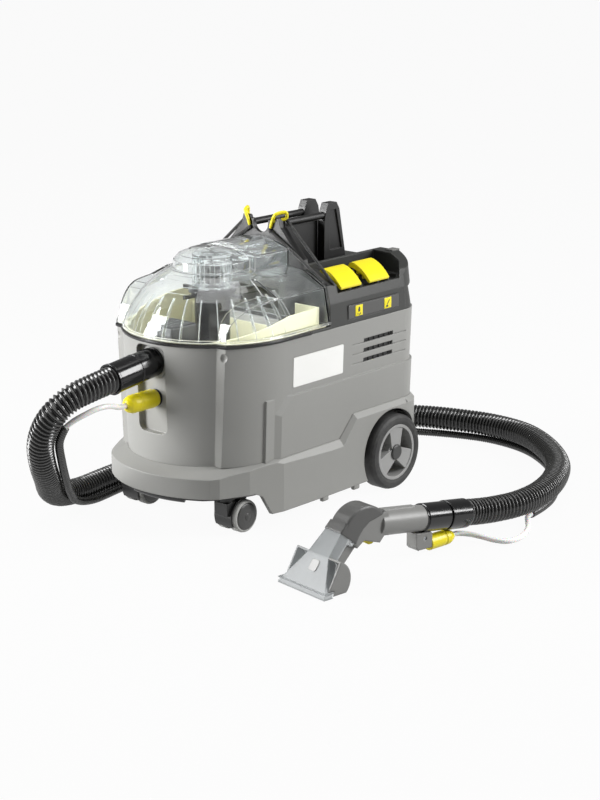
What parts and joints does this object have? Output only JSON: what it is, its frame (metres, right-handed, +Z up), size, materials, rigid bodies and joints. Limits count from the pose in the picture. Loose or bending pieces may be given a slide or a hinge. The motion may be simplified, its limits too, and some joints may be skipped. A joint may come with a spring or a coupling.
{
  "type": "spot extractor",
  "caption": "Small upright-body spray extraction cleaner on rear wheels and swivel casters, with a clear lid, suction hose and spray hand tool.",
  "frame": {"origin": "on the floor, under the middle of the box around the machine and its hand tool, hoses left out", "axes": "+Z up; +X from the round front with the hose port to the rear wheels; +Y from the side with the switches to the other side"},
  "size_m": [0.8959, 0.6776, 0.4516],
  "materials": {
    "grey_abs": "satin moulded",
    "charcoal_abs": "fine grained",
    "jet_abs": "satin",
    "yellow_abs": "satin moulded",
    "clear_pc": "polished clear",
    "cream_pe": "waxy moulded",
    "tool_grey": "fine grained",
    "seal_rubber": "matt",
    "tyre_rubber": "matt",
    "caster_tread": "matt",
    "rim_grey": "satin moulded",
    "axle_steel": "drawn bar",
    "motor_metal": "pressed",
    "hose_pvc": "ribbed",
    "hose_clear": "smooth",
    "strap_cord": "matt",
    "plate_white": "printed film, bare",
    "float_orange": "satin"
  },
  "bodies": {
    "machine": {"housing": "grey_abs", "base_skirt": "grey_abs", "base_pan": "charcoal_abs", "rim_seal": "seal_rubber", "control_deck": "charcoal_abs", "switch_strip": "charcoal_abs", "badge_plate": "plate_white", "vent_grilles": "jet_abs", "deck_clip": "tool_grey", "hose_port": "jet_abs", "water_socket": "jet_abs", "vacuum_motor": "motor_metal", "spray_pump": "motor_metal", "battery_pack": "jet_abs", "rear_axle": "axle_steel", "holder_frame": "jet_abs", "holder_box": "jet_abs", "strap_near": "strap_cord", "strap_far": "strap_cord", "pull_tab_near": "yellow_abs", "pull_tab_far": "yellow_abs", "nozzle_shell": "clear_pc", "spray_shield": "tool_grey", "spray_jet": "jet_abs", "tool_elbow": "charcoal_abs", "tool_handle": "tool_grey", "valve_block": "tool_grey", "tool_cuff": "jet_abs", "tool_coupling": "yellow_abs", "suction_hose": "hose_pvc", "hose_cuff_machine": "jet_abs", "hose_cuff_tool": "jet_abs", "water_sleeve": "hose_pvc", "water_hose_front": "hose_clear", "water_hose_rear": "hose_clear", "water_coupling": "yellow_abs"},
    "wheel_near": {"tyre_near": "tyre_rubber", "rim_near": "rim_grey", "hub_near": "charcoal_abs"},
    "wheel_far": {"tyre_far": "tyre_rubber", "rim_far": "rim_grey", "hub_far": "charcoal_abs"},
    "caster_near": {"caster_hood_near": "jet_abs"},
    "caster_near_wheels": {"caster_wheels_near": "charcoal_abs", "caster_tyres_near": "caster_tread"},
    "caster_far": {"caster_hood_far": "jet_abs"},
    "caster_far_wheels": {"caster_wheels_far": "charcoal_abs", "caster_tyres_far": "caster_tread"},
    "rocker_a": {"rocker_spray": "yellow_abs"},
    "rocker_b": {"rocker_suction": "yellow_abs"},
    "door": {"battery_door": "charcoal_abs"},
    "tank": {"recovery_tank": "cream_pe"},
    "lid": {"lid_shell": "clear_pc", "intake_pipe": "jet_abs", "filter_basket": "clear_pc"},
    "float": {"float_ball": "float_orange"},
    "trigger": {"spray_trigger": "yellow_abs"}
  },
  "joints": [
    {"name": "wheel_near_spin", "type": "hinge", "parent": "machine", "child": "wheel_near", "pos_m": [0.17383, -0.02845, 0.061], "axis": [0, 1, 0], "continuous": true},
    {"name": "wheel_far_spin", "type": "hinge", "parent": "machine", "child": "wheel_far", "pos_m": [0.17383, 0.26155, 0.061], "axis": [0, 1, 0], "continuous": true},
    {"name": "caster_near_swivel", "type": "hinge", "parent": "machine", "child": "caster_near", "pos_m": [-0.15417, 0.01755, 0.065], "axis": [0, 0, 1], "continuous": true},
    {"name": "caster_near_roll", "type": "hinge", "parent": "caster_near", "child": "caster_near_wheels", "pos_m": [-0.13517, 0.01755, 0.025], "axis": [0, 1, 0], "continuous": true},
    {"name": "caster_far_swivel", "type": "hinge", "parent": "machine", "child": "caster_far", "pos_m": [-0.15417, 0.21555, 0.065], "axis": [0, 0, 1], "continuous": true},
    {"name": "caster_far_roll", "type": "hinge", "parent": "caster_far", "child": "caster_far_wheels", "pos_m": [-0.13517, 0.21555, 0.025], "axis": [0, 1, 0], "continuous": true},
    {"name": "rocker_spray_press", "type": "hinge", "parent": "machine", "child": "rocker_a", "pos_m": [0.07983, 0.00055, 0.346], "axis": [1, 0, 0], "range_deg": [0, 7]},
    {"name": "rocker_suction_press", "type": "hinge", "parent": "machine", "child": "rocker_b", "pos_m": [0.14783, 0.00055, 0.346], "axis": [1, 0, 0], "range_deg": [0, 7]},
    {"name": "battery_door_swing", "type": "hinge", "parent": "machine", "child": "door", "pos_m": [0.26283, 0.11655, 0.147], "axis": [0, 1, 0], "range_deg": [0, 100]},
    {"name": "tank_lift", "type": "slide", "parent": "machine", "child": "tank", "axis": [0, 0, 1], "range_m": [0, 0.2]},
    {"name": "lid_lift", "type": "slide", "parent": "tank", "child": "lid", "axis": [0, 0, 1], "range_m": [0, 0.15]},
    {"name": "float_rise", "type": "slide", "parent": "lid", "child": "float", "axis": [0, 0, 1], "range_m": [0, 0.01]},
    {"name": "trigger_squeeze", "type": "hinge", "parent": "machine", "child": "trigger", "pos_m": [-0.13489, -0.23891, 0.05], "axis": [0.1392, 0.9903, 0], "range_deg": [0, 6], "stiffness_Nm_per_rad": 0.3, "springref_deg": -1.15}
  ]
}
